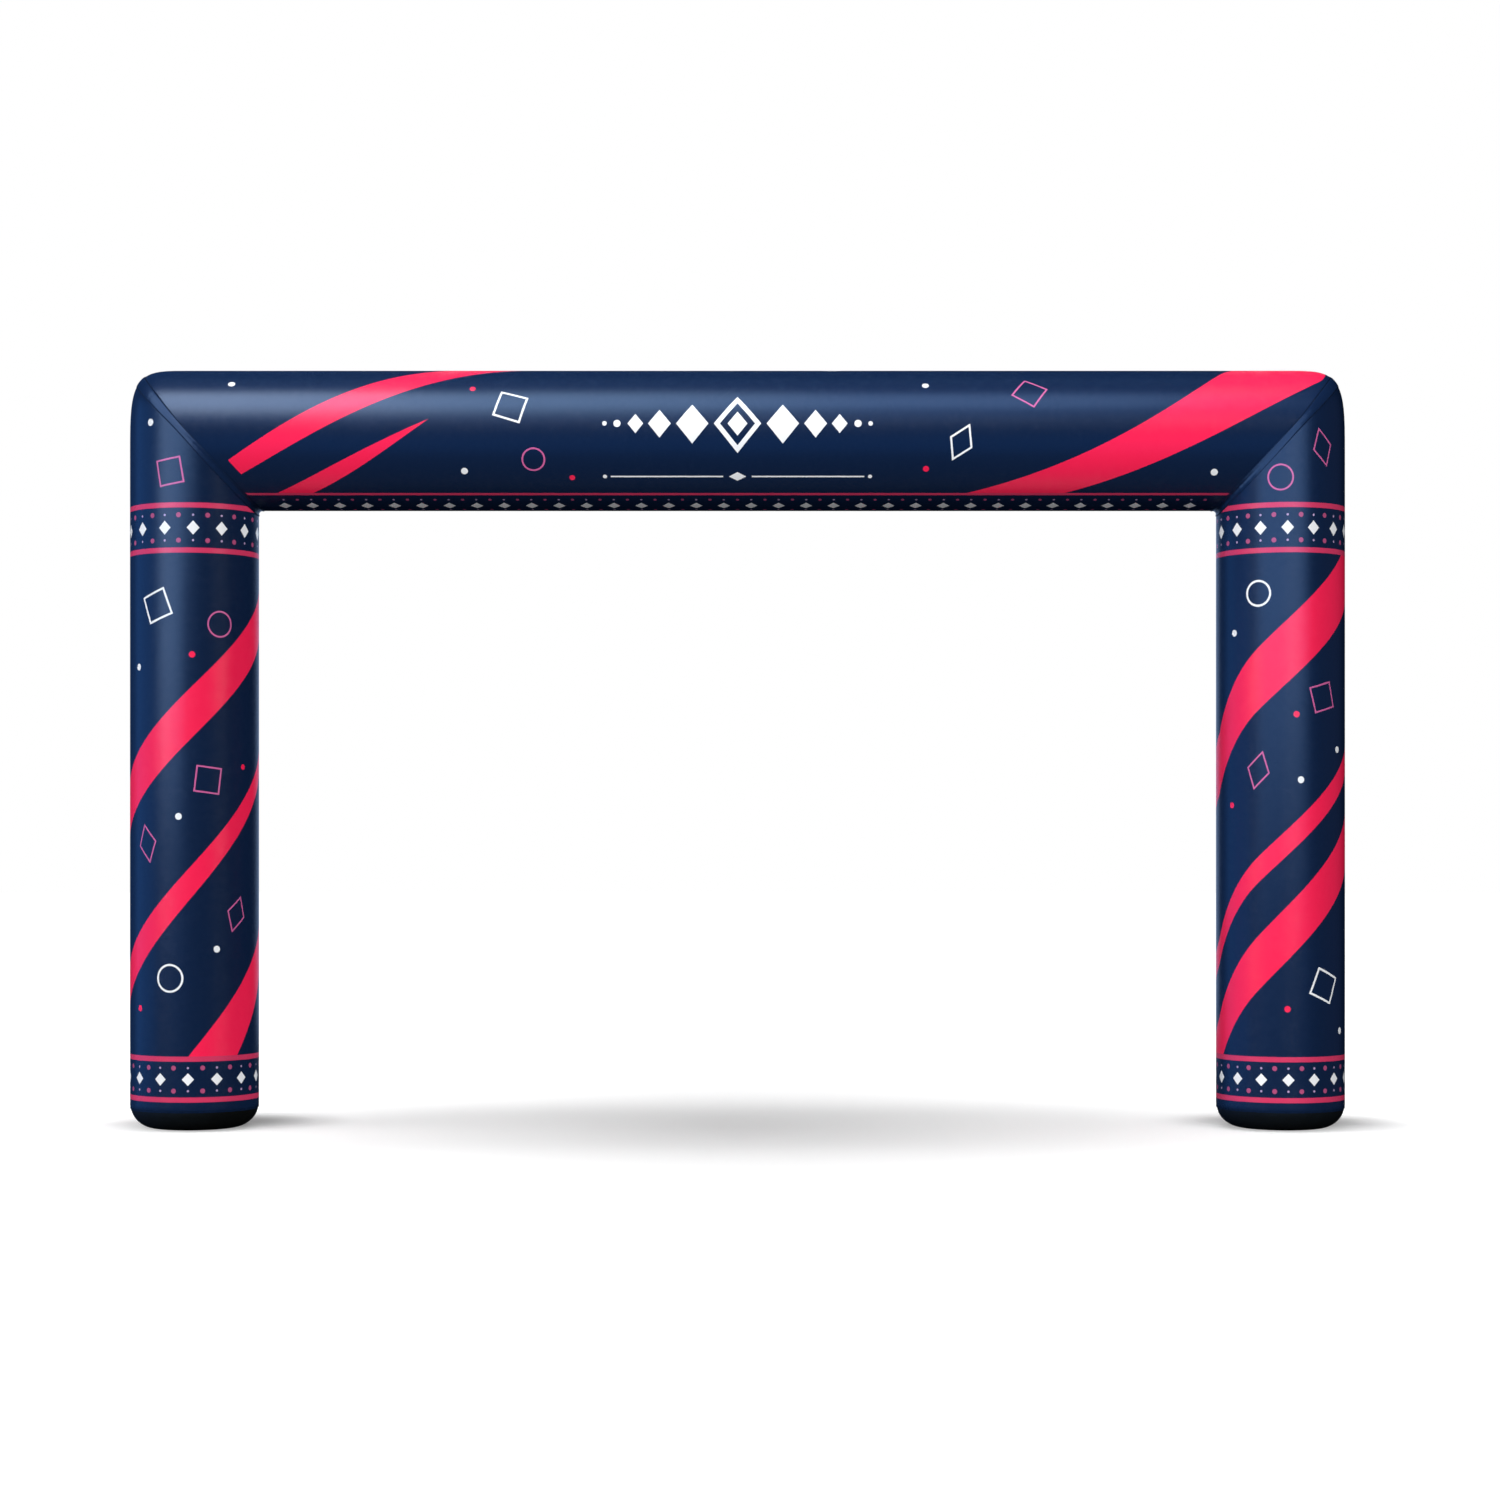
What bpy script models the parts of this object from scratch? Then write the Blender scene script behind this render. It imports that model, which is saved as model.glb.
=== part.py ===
"""Inflatable arch: two upright air tubes and a header tube, mitred at the corners.

Each tube is printed cloth held out by the air in it, so it is one filled solid. A
seam tape covers each mitre, and a black base closes each leg.

Metres, +Z up. X runs along the header, Y from front to back, and the origin is on
the ground under the middle of the arch.
"""

import math
from collections import namedtuple

import bmesh
import bpy

# The arch
HEIGHT = 4.0
LEG_SPACING = 5.75  # from one leg's centre line to the other's
LEG_WIDTH = 0.672
HEADER_HEIGHT = 0.737
TUBE_DEPTH = 0.704  # one depth for all three tubes, so that they meet in a flat mitre

# The rounded outer corners, at the outermost line of the tubes
CORNER_DROP = 0.50  # where the rounding leaves the leg, below the sharp corner
CORNER_RUN = 0.33  # where it leaves the header, in from the sharp corner
CORNER_POWER = 4.5  # exponent of the superellipse between them
HALVINGS = 50  # when a line is searched for its crossing of the mitre

# The feet
FOOT_RADIUS = 0.13  # rounding between a leg's side and its flat bottom
BASE_HEIGHT = 0.10  # the seam between the base and the leg's printed cloth

# The seams
TAPE_THICKNESS = 0.001
TAPE_HALF_WIDTH = 0.026  # on each side of the mitre
SEAM_GAP = 0.0003  # between neighbouring pieces

# Facets
SEGMENTS = 64  # round each tube
CORNER_ROWS = (0.05, 0.09, 0.14, 0.20, 0.28, 0.40)  # rings back from a mitre
LEG_FOOT_ROWS = 3  # rings of a leg on the foot's rounding
BASE_ROWS = 6  # rings of a base
SHARP_ANGLE = math.radians(35)  # edges that bend more than this are shaded sharp

LEG_X = LEG_SPACING / 2
HEADER_Z = HEIGHT - HEADER_HEIGHT / 2
SIDES = {"left": -1, "right": 1}

COLOURS = {
    "printed_cloth": (0.008, 0.025, 0.096, 1.0),
    "seam_tape": (0.006, 0.016, 0.058, 1.0),
    "base_cloth": (0.004, 0.005, 0.005, 1.0),
}
ROUGHNESS = {"printed_cloth": 0.38, "seam_tape": 0.45, "base_cloth": 0.55}

Corner = namedtuple("Corner", "out top reach_down reach_in down inward")


def clear_scene():
    for item in list(bpy.data.objects):
        bpy.data.objects.remove(item, do_unlink=True)


def make_material(name):
    material = bpy.data.materials.new(name)
    material.use_nodes = True
    shader = material.node_tree.nodes["Principled BSDF"]
    shader.inputs["Base Color"].default_value = COLOURS[name]
    shader.inputs["Roughness"].default_value = ROUGHNESS[name]
    shader.inputs["Metallic"].default_value = 0.0
    material.diffuse_color = COLOURS[name]
    return material


def drawn_in(back, reach, depth):
    """How far a line is drawn in at this distance back from its sharp corner."""
    if back >= reach:
        return 0.0
    ahead = 1.0 - back / reach
    return depth * (1.0 - (1.0 - ahead**CORNER_POWER) ** (1.0 / CORNER_POWER))


def mitre_drop(reach_down, reach_in):
    """How far below its sharp corner a rounded line crosses the mitre's plane."""
    low = 0.0
    high = reach_down
    for _ in range(HALVINGS):
        middle = (low + high) / 2
        outside = drawn_in(middle, reach_down, reach_in) > middle * LEG_WIDTH / HEADER_HEIGHT
        low, high = (middle, high) if outside else (low, middle)
    return high


def corner(angle, offset):
    """The corner of one lengthwise line, which climbs the leg and turns along the header.

    The angle is 0 on the outer side, 90 degrees at the front and 180 on the portal's
    side. The rounding fades from the outer side to a crease at the front.
    """
    outward = math.cos(angle)
    fade = max(outward, 0.0) ** 2
    down = mitre_drop(CORNER_DROP * fade, CORNER_RUN * fade)
    return Corner(
        out=LEG_X + (LEG_WIDTH / 2 + offset) * outward,
        top=HEADER_Z + (HEADER_HEIGHT / 2 + offset) * outward,
        reach_down=CORNER_DROP * fade,
        reach_in=CORNER_RUN * fade,
        down=down,
        inward=down * LEG_WIDTH / HEADER_HEIGHT,
    )


def leg_corner_point(side, angle, back, offset):
    """A point on a leg, this far below the mitre."""
    c = corner(angle, offset)
    down = c.down + back
    out = c.out - drawn_in(down, c.reach_down, c.reach_in)
    return (side * out, -(TUBE_DEPTH / 2 + offset) * math.sin(angle), c.top - down)


def header_corner_point(side, angle, back, offset):
    """A point on the header, this far in from the mitre."""
    c = corner(angle, offset)
    inward = c.inward + back
    up = c.top - drawn_in(inward, c.reach_in, c.reach_down)
    return (side * (c.out - inward), -(TUBE_DEPTH / 2 + offset) * math.sin(angle), up)


def foot_point(side, angle, height, offset):
    """A point on a leg's foot, which is rounded in towards the flat bottom."""
    radius = FOOT_RADIUS + offset
    below = max(FOOT_RADIUS - height, 0.0)
    inset = radius - math.sqrt(max(radius**2 - below**2, 0.0))
    out = LEG_X + (LEG_WIDTH / 2 + offset - inset) * math.cos(angle)
    return (side * out, -(TUBE_DEPTH / 2 + offset - inset) * math.sin(angle), height)


def ring(point, side, along, offset=0.0):
    """The points once round a tube, on its surface or this far outside it."""
    return [
        point(side, 2 * math.pi * step / SEGMENTS, along, offset)
        for step in range(SEGMENTS)
    ]


def foot_heights(low, high, rows):
    """Heights spread evenly along the arc of the foot's rounding."""
    start = math.acos(max(FOOT_RADIUS - low, 0.0) / FOOT_RADIUS)
    end = math.acos(max(FOOT_RADIUS - high, 0.0) / FOOT_RADIUS)
    turns = [start + (end - start) * row / (rows - 1) for row in range(rows)]
    return [FOOT_RADIUS * (1.0 - math.cos(turn)) for turn in turns]


def corner_backs():
    """How far back from a mitre its rings lie. One follows the edge of the seam tape."""
    return (SEAM_GAP, TAPE_HALF_WIDTH) + CORNER_ROWS


def leg_rings(side):
    """A leg, from the base seam up to the mitre."""
    heights = foot_heights(BASE_HEIGHT + SEAM_GAP, FOOT_RADIUS, LEG_FOOT_ROWS)
    foot = [ring(foot_point, side, height) for height in heights]
    top = [ring(leg_corner_point, side, back) for back in reversed(corner_backs())]
    return foot + top


def header_rings():
    """The header, from the left mitre to the right one."""
    left = [ring(header_corner_point, SIDES["left"], back) for back in corner_backs()]
    right = [ring(header_corner_point, SIDES["right"], back) for back in corner_backs()]
    return left + right[::-1]


def base_rings(side):
    """A base, from its flat bottom up to the seam."""
    heights = foot_heights(0.0, BASE_HEIGHT, BASE_ROWS)
    return [ring(foot_point, side, height) for height in heights]


def tape_rings(side):
    """A seam tape: out along its upper surface, and back along the lower one."""
    rings = []
    for lift in (SEAM_GAP + TAPE_THICKNESS, SEAM_GAP):
        leg_edge = ring(leg_corner_point, side, TAPE_HALF_WIDTH, lift)
        crease = ring(leg_corner_point, side, 0.0, lift)
        header_edge = ring(header_corner_point, side, TAPE_HALF_WIDTH, lift)
        surface = [leg_edge, crease, header_edge]
        rings += surface if not rings else surface[::-1]
    return rings


def make_piece(name, rings, material, is_loop=False):
    """Joins rings of points into one closed body.

    The last ring of a loop joins its first. Any other row of rings gets a flat face
    at each end.
    """
    bm = bmesh.new()
    rows = [[bm.verts.new(point) for point in points] for points in rings]
    pairs = list(zip(rows, rows[1:]))
    if is_loop:
        pairs.append((rows[-1], rows[0]))
    else:
        bm.faces.new(rows[0])
        bm.faces.new(rows[-1])
    for near, far in pairs:
        for i in range(SEGMENTS):
            j = (i + 1) % SEGMENTS
            bm.faces.new((near[i], near[j], far[j], far[i]))
    # Split alike on every surface, so that a tape's facets follow those under it.
    quads = [face for face in bm.faces if len(face.verts) == 4]
    bmesh.ops.triangulate(bm, faces=quads, quad_method="SHORT_EDGE")
    bmesh.ops.recalc_face_normals(bm, faces=bm.faces)
    mesh = bpy.data.meshes.new(name)
    bm.to_mesh(mesh)
    bm.free()
    mesh.shade_smooth()
    mesh.set_sharp_from_angle(angle=SHARP_ANGLE)
    mesh.materials.append(material)
    piece = bpy.data.objects.new(name, mesh)
    bpy.context.collection.objects.link(piece)
    return piece


def main():
    clear_scene()
    cloth = make_material("printed_cloth")
    tape = make_material("seam_tape")
    base = make_material("base_cloth")
    make_piece("header", header_rings(), cloth)
    for word, side in SIDES.items():
        make_piece(f"leg_{word}", leg_rings(side), cloth)
        make_piece(f"mitre_tape_{word}", tape_rings(side), tape, is_loop=True)
        make_piece(f"base_{word}", base_rings(side), base)


main()
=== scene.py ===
import math
import random
from collections import namedtuple

import bpy
import numpy as np
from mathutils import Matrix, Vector
from mathutils.geometry import delaunay_2d_cdt


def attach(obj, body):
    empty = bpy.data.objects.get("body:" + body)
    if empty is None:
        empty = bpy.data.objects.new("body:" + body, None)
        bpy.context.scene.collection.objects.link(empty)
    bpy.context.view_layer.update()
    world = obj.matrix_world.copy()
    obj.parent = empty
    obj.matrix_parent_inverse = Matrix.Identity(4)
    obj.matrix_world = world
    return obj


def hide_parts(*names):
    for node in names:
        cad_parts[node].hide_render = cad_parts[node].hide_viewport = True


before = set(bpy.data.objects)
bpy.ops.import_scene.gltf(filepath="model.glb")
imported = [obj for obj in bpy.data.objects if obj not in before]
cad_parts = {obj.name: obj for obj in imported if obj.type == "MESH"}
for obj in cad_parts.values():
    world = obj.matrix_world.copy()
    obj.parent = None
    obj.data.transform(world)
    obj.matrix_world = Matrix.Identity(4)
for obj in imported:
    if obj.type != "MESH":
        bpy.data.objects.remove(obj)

scene = bpy.context.scene
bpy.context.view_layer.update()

# Sizes in metres. X runs along the header, -Y is the front, Z is up.
# Round a tube, angle 0 is the outer side, 90 degrees the front, 180 the portal's side.
arch = {
    "height": 4.0,
    "legSpacing": 5.75,
    "legWidth": 0.672,
    "headerHeight": 0.737,
    "depth": 0.704,
    "cornerDrop": 0.50,  # how far down a leg the outer corner's rounding starts
    "cornerRun": 0.33,  # how far in along the header it ends
    "cornerPower": 4.5,
    "footRadius": 0.13,
    "baseSeam": 0.10,
    "seamGap": 0.0003,
}
legX = arch["legSpacing"] / 2
legHalf = arch["legWidth"] / 2
headerHalf = arch["headerHeight"] / 2
depthHalf = arch["depth"] / 2
headerZ = arch["height"] - headerHalf
legRadius = (arch["legWidth"] + arch["depth"]) / 4
headerRadius = (arch["headerHeight"] + arch["depth"]) / 4
sides = {"Left": -1, "Right": 1}


def together(*parts):
    return np.stack(parts, axis=-1)


def fullTurn(count):
    return np.arange(count) * 2 * math.pi / count


def drawnIn(back, reach, depth):
    # how far the rounded outer corner draws a line in, this far back from the sharp one
    ahead = np.clip(1 - back / np.maximum(reach, 1e-9), 0, 1)
    power = arch["cornerPower"]
    return depth * (1 - (1 - ahead**power) ** (1 / power))


def cornerReaches(angle):
    fade = np.maximum(np.cos(angle), 0) ** 2
    return arch["cornerDrop"] * fade, arch["cornerRun"] * fade


def mitreDrop(angle):
    # how far below its sharp corner each lengthwise line crosses the mitre
    reachDown, reachIn = cornerReaches(angle)
    low = np.zeros_like(reachDown)
    high = reachDown
    slope = arch["legWidth"] / arch["headerHeight"]
    for _ in range(40):  # halvings
        middle = (low + high) / 2
        outside = drawnIn(middle, reachDown, reachIn) > middle * slope
        low = np.where(outside, middle, low)
        high = np.where(outside, high, middle)
    return high


def mitreInset(angle):
    return mitreDrop(angle) * arch["legWidth"] / arch["headerHeight"]


def legSurface(side, angle, back, lift=0.0):
    # back is the distance below the mitre, lift the distance off the tube
    outward = np.cos(angle)
    reachDown, reachIn = cornerReaches(angle)
    down = mitreDrop(angle) + back
    height = headerZ + (headerHalf + lift) * outward - down
    below = np.clip(arch["footRadius"] - height, 0, arch["footRadius"])
    grown = lift - arch["footRadius"] + np.sqrt(arch["footRadius"] ** 2 - below**2)
    out = legX + (legHalf + grown) * outward - drawnIn(down, reachDown, reachIn)
    front = -(depthHalf + grown) * np.sin(angle)
    return together(side * out, front, height)


def headerSurface(side, angle, back, lift=0.0):
    outward = np.cos(angle)
    reachDown, reachIn = cornerReaches(angle)
    inward = mitreInset(angle) + back
    out = legX + (legHalf + lift) * outward - inward
    up = headerZ + (headerHalf + lift) * outward
    up = up - drawnIn(inward, reachIn, reachDown)
    return together(side * out, -(depthHalf + lift) * np.sin(angle), up)


def mitreHeight(angle):
    return headerZ + headerHalf * np.cos(angle) - mitreDrop(angle)


def mitreReach(angle):
    return legX + legHalf * np.cos(angle) - mitreInset(angle)


# Shallow gathers where the stitching draws the cloth in
gathers = {
    "mitreDepth": 0.0010,
    "mitreReach": 0.028,
    "mitreFolds": (37, 53, 71, 94),  # waves round the tube, laid over each other
    "squeeze": 1.2,  # how much deeper they go on the portal's side
    "footDepth": 0.0007,
    "footReach": 0.016,
    "footFolds": (45, 62, 83),
}


def gathered(angle, back, depth, reach, folds, seed):
    chance = random.Random(seed)
    wave = 0
    for count in folds:
        wave = wave + np.sin(count * angle + chance.uniform(0, 2 * math.pi))
    return -depth * (0.5 + 0.5 * wave / len(folds)) * np.exp(-np.maximum(back, 0) / reach)


def mitreGather(angle, back, side):
    depth = gathers["mitreDepth"] * (1 + gathers["squeeze"] * np.maximum(-np.cos(angle), 0))
    return gathered(angle, back, depth, gathers["mitreReach"], gathers["mitreFolds"], 11 + side)


def footGather(angle, above, side):
    depth, reach, folds = gathers["footDepth"], gathers["footReach"], gathers["footFolds"]
    return gathered(angle, above, depth, reach, folds, 21 + side)


class Wire:
    # a shader socket that can be used in sums
    def __init__(self, graph, socket):
        self.graph = graph
        self.socket = socket

    def __add__(self, other):
        return self.graph.maths("ADD", self, other)

    __radd__ = __add__

    def __sub__(self, other):
        return self.graph.maths("SUBTRACT", self, other)

    def __rsub__(self, other):
        return self.graph.maths("SUBTRACT", other, self)

    def __mul__(self, other):
        return self.graph.maths("MULTIPLY", self, other)

    __rmul__ = __mul__


class Graph:
    # the nodes of a material or a world
    def __init__(self, owner):
        owner.use_nodes = True
        self.owner = owner
        self.tree = owner.node_tree
        self.tree.nodes.clear()

    def add(self, kind, settings=None, sockets=None, output=0):
        node = self.tree.nodes.new(kind)
        for name, value in (settings or {}).items():
            setattr(node, name, value)
        for name, value in (sockets or {}).items():
            if isinstance(value, Wire):
                self.tree.links.new(value.socket, node.inputs[name])
            else:
                node.inputs[name].default_value = value
        return Wire(self, node.outputs[output]) if len(node.outputs) else None

    def maths(self, operation, *values):
        return self.add("ShaderNodeMath", {"operation": operation}, dict(enumerate(values)))


def newMaterial(name):
    return Graph(bpy.data.materials.new(name))


def axisOf(graph, vector, axis):
    return graph.add("ShaderNodeSeparateXYZ", None, {"Vector": vector}, axis)


def noise(graph, place, scale, detail, roughness=0.5):
    sockets = {"Vector": place, "Scale": scale, "Detail": detail, "Roughness": roughness}
    return graph.add("ShaderNodeTexNoise", None, sockets)


def smoothly(graph, value, span, levels):
    # from the first level to the second while the value crosses the span
    names = ("Value", "From Min", "From Max", "To Min", "To Max")
    sockets = dict(zip(names, (value, *span, *levels)))
    return graph.add("ShaderNodeMapRange", {"interpolation_type": "SMOOTHSTEP"}, sockets)


def finishCloth(graph, look, height, roughness, colour=None):
    bump = graph.add("ShaderNodeBump", None, {
        "Strength": look["relief"],
        "Distance": 0.001,
        "Height": height,
    })
    shader = graph.add("ShaderNodeBsdfPrincipled", None, {
        "Base Color": colour or (*look["colour"], 1),
        "Roughness": roughness,
        "IOR": look["ior"],
        "Normal": bump,
    })
    graph.add("ShaderNodeOutputMaterial", None, {"Surface": shader})
    graph.owner.diffuse_color = (*look["colour"], 1)
    return graph.owner


def weave(graph, pitch):
    # how the cloth lies, and its plain weave: warp and weft take turns on top
    lay = graph.add("ShaderNodeUVMap", {"uv_map": "lay"})
    rounds = []
    for direction in ("X", "Y"):
        rounds.append(graph.add("ShaderNodeTexWave", {"bands_direction": direction}, {
            "Vector": lay,
            "Scale": math.pi / (10 * pitch),  # one wave to a thread
        }, "Fac"))
    turns = graph.add("ShaderNodeTexChecker", None, {"Vector": lay, "Scale": 1 / pitch}, "Fac")
    return lay, rounds[0] * turns + rounds[1] * (1 - turns)


printLook = {
    "pitch": 0.0011,  # one thread to the next
    "roughness": 0.29,
    "patchy": 0.07,  # how much the gloss varies from place to place
    "threads": 0.10,  # heights in the relief
    "pulls": 0.35,
    "relief": 0.35,
    "ior": 1.46,
}
inks = {
    "navy": (0.0048, 0.0148, 0.049),
    "crimson": (0.96, 0.015, 0.082),
    "rose": (0.66, 0.04, 0.12),  # the bands' lines
    "mauve": (0.43, 0.075, 0.185),  # the bands' big dots
    "pink": (0.6, 0.12, 0.32),  # outlines
    "pale": (0.48, 0.34, 0.56),  # the bands' small dots
    "white": (0.9, 0.92, 0.94),
}
inkOrder = list(inks)


def makeInk(name):
    look = dict(printLook, colour=inks[name])
    graph = newMaterial("print" + name.capitalize())
    lay, threads = weave(graph, look["pitch"])
    patches = noise(graph, lay, 7.0, 4.0, 0.55)
    height = threads * look["threads"] + noise(graph, lay, 45.0, 2.0) * look["pulls"]
    roughness = look["roughness"] + (patches - 0.5) * look["patchy"] + (threads - 0.5) * 0.05
    return finishCloth(graph, look, height, roughness)


tapeLook = {
    **printLook,
    "colour": inks["navy"],
    # painted shade: the near-black the tape is darkened to in its stitching grooves
    "paintedGrooveShade": (0.0008, 0.0016, 0.0050),
    "seamAt": 0.0255,  # from the mitre to the stitching, where the tape is pressed dull and darkened with painted shade
    "seamHalf": 0.0032,
    "innerSeam": 0.15,  # how much of the dulling and painted shade is left on the portal's side
    "layRadius": 0.38,  # turns the angle round the tube into metres of cloth
    "fuzz": 0.30,
    "relief": 0.3,
}


def makeTapeCloth():
    # the panels' own cloth, dull along its two rows of stitching and darkened there with painted shade
    graph = newMaterial("seamTape")
    lay, threads = weave(graph, tapeLook["pitch"])
    fuzz = noise(graph, lay, 160.0, 3.0)
    around = axisOf(graph, lay, "X")
    across = axisOf(graph, lay, "Y")
    outer = graph.maths("COSINE", around * (1 / tapeLook["layRadius"]))
    shown = smoothly(graph, outer, (-0.35, 0.20), (tapeLook["innerSeam"], 1.0))
    away = graph.maths("ABSOLUTE", graph.maths("ABSOLUTE", across) - tapeLook["seamAt"])
    seam = smoothly(graph, away, (0.0012, tapeLook["seamHalf"]), (1.0, 0.0)) * shown
    # painted shade: the colour darkens towards the stitching grooves, fading on the portal's side
    colour = graph.add("ShaderNodeMix", {"data_type": "RGBA"}, {
        0: seam,
        6: (*tapeLook["colour"], 1),
        7: (*tapeLook["paintedGrooveShade"], 1),
    }, 2)
    height = threads * tapeLook["threads"] + fuzz * tapeLook["fuzz"]
    roughness = tapeLook["roughness"] + (fuzz - 0.5) * 0.08 + seam * 0.45
    return finishCloth(graph, tapeLook, height, roughness, colour)


threadLook = {
    "colour": (0.0012, 0.0025, 0.0075),
    "roughness": 0.6,
    "relief": 0.6,
    "ior": 1.4,
}


def makeThread():
    graph = newMaterial("sewingThread")
    lay = graph.add("ShaderNodeTexCoord", None, None, "Object")
    twist = noise(graph, lay, 1500.0, 1.0)
    return finishCloth(graph, threadLook, twist, threadLook["roughness"] + (twist - 0.5) * 0.3)


baseLook = {
    "colour": (0.0040, 0.0046, 0.0044),
    "pitch": 0.0016,
    "roughness": 0.56,
    "threads": 0.15,
    "pebbles": 0.6,
    "relief": 0.6,
    "ior": 1.45,
}


def makeBaseCloth():
    # heavy coated cloth: a scuffed, pebbled skin over a coarse weave
    graph = newMaterial("groundCloth")
    lay, threads = weave(graph, baseLook["pitch"])
    pebbles = graph.add("ShaderNodeTexVoronoi", {"feature": "SMOOTH_F1"}, {
        "Vector": lay,
        "Scale": 420.0,
        "Smoothness": 0.6,
    })
    scuffs = noise(graph, lay, 24.0, 5.0)
    height = threads * baseLook["threads"] + pebbles * baseLook["pebbles"]
    roughness = baseLook["roughness"] + (scuffs - 0.5) * 0.25 + pebbles * 0.08
    return finishCloth(graph, baseLook, height, roughness)


inkMaterials = [makeInk(name) for name in inkOrder]
tapeMaterial = makeTapeCloth()
threadMaterial = makeThread()
baseMaterial = makeBaseCloth()
print("materials:", len(bpy.data.materials))


# The print is drawn flat: metres round from the front line, and metres along
Ribbon = namedtuple("Ribbon", "front rise bend hook width widen flare fromAngle toAngle fromTip "
                    "toTip trim", defaults=(0,))
Scatter = namedtuple("Scatter", "what around along size turn", defaults=(0,))
Motif = namedtuple("Motif", "ink outline")

# front is the middle of the ribbon at the front line and rise its climb per degree. The hook
# bends it beyond 30 degrees to the left. A tip is how many degrees the ribbon takes to come
# to a point, and 0 leaves it square. The trim keeps it off the mitre.
ribbonLook = {
    "corners": 260,  # along each edge
    "bendWithin": 60,  # degrees, past which a bend goes on straight
    "widenWithin": 90,
    "tipPower": 2.2,
    "soft": 0.02,  # the distance over which an edge bends into the mitre
}
ribbons = {
    "legLeft": (
        (2.1345, 0.00597, 0, 0, 0.267, -0.00015, 0, -160, 165, 60, 60),
        (1.251, 0.0068, 3e-6, 0, 0.17, -0.00052, 0, -160, 165, 60, 60),
        (0.1414, 0.0083, 0, 0, 0.437, -0.00196, 0, -5, 165, 0, 60),
    ),
    "legRight": (
        (2.5205, 0.00553, 0, -6.3e-5, 0.328, 0.0001, 0, -165, 125, 60, 0),
        (1.528, 0.00553, 0, -6.3e-5, 0.135, 0, 0, -165, 160, 60, 60),
        (1.0585, 0.00608, 0, -5.3e-5, 0.283, 0, 0, -165, 165, 60, 60),
    ),
    "header": (
        (-2.311, 0.01098, 2e-5, 0, 0.232, 0.0017, 0, -55.5, 160, 0, 70, 0.1),
        (-1.73, 0.0114, 1.2e-5, 0, 0.187, 0, 0, -55.5, 11, 0, 68),
        (2.257, 0.01232, -4.6e-5, 0, 0.487, 0.00082, 2.4e-5, -55.5, 165, 0, 0, 0.05),
    ),
}
bandLook = {
    "halfWidth": 0.117,  # middle of the band to the middle of each line
    "line": 0.027,
    "dotRow": 0.066,
    "bigDot": 0.0132,
    "smallDot": 0.0062,
}
# A leg's bands: the height of the middle, the half width, how many lozenges go round,
# the angle of the first, and a lozenge's width and height
Band = namedtuple("Band", "middle halfWidth count first wide high")
bands = {
    "legLeft": (
        (3.138, 0.117, 14, 8.9, 0.067, 0.074),
        (0.275, 0.106, 14, 4.4, 0.065, 0.066),
    ),
    "legRight": (
        (3.140, 0.117, 15, -3.9, 0.067, 0.074),
        (0.272, 0.106, 15, -3.2, 0.065, 0.066),
    ),
}
underBand = {
    "rows": (-73.5, -106.5),  # degrees, front and back of the underside
    "lines": (-55.5, -124.5),
    "line": 0.017,
    "reach": 3.3,  # past both mitres
    "bigDot": 0.009,
    "lozenges": 34,
    "spacing": 0.1443,
    "wide": 0.066,
    "high": 0.072,
}
# What lies where: degrees round, metres along, size and turn
scatters = {}
scatters["legLeft"] = (
    ("white square", -25, 2.735, 0.15, 24),
    ("pink ring", 33, 2.64, 0.07),
    ("pink lozenge", -36, 1.5, 0.105, -12),
    ("pink square", 22, 1.83, 0.14, 52),
    ("white ring", -12, 0.8, 0.075),
    ("pink lozenge", 50, 1.13, 0.1, 18),
    ("pink square", -12, 3.43, 0.14, 35),
    ("white dot", -48, 2.42, 0.018),
    ("crimson dot", 8, 2.48, 0.017),
    ("white dot", -4, 1.64, 0.018),
    ("crimson dot", 58, 1.9, 0.015),
    ("crimson dot", -46, 0.64, 0.017),
    ("white dot", 30, 0.95, 0.018),
    ("white dot", -32, 3.69, 0.019),
    ("pink ring", 120, 2.43, 0.075),
    ("white square", 150, 1.86, 0.15, 15),
    ("pink lozenge", 165, 2.78, 0.105, 8),
    ("pink square", -130, 2.15, 0.14, 61),
    ("white ring", -150, 1.7, 0.075),
    ("white dot", -120, 2.65, 0.018),
    ("crimson dot", 175, 1.15, 0.017),
    ("white dot", 140, 0.75, 0.018),
    ("pink lozenge", -100, 3.48, 0.1, -20),
    ("pink square", -118, 0.93, 0.13, 27),
)
scatters["legRight"] = (
    ("white ring", -30, 2.8, 0.07),
    ("pink square", 30, 2.26, 0.14, 30),
    ("pink lozenge", -30, 1.88, 0.105, 14),
    ("white square", 32, 0.76, 0.15, -22),
    ("pink ring", -10, 3.4, 0.07),
    ("pink lozenge", 30, 3.56, 0.105, -16),
    ("white dot", -55, 2.6, 0.018),
    ("crimson dot", 4, 2.17, 0.017),
    ("white dot", 50, 1.99, 0.018),
    ("crimson dot", -58, 1.7, 0.016),
    ("white dot", 8, 1.83, 0.018),
    ("crimson dot", -4, 0.64, 0.017),
    ("white dot", 55, 0.52, 0.018),
    ("pink square", 130, 2.5, 0.14, 40),
    ("white ring", 160, 1.3, 0.075),
    ("pink lozenge", -150, 2.65, 0.105, 8),
    ("white square", -120, 2.35, 0.15, 61),
    ("pink ring", 120, 0.7, 0.075),
    ("white dot", -130, 1.4, 0.018),
    ("crimson dot", 172, 1.62, 0.017),
    ("white dot", 90, 3.42, 0.018),
    ("pink square", 110, 3.52, 0.13, 21),
)
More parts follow.
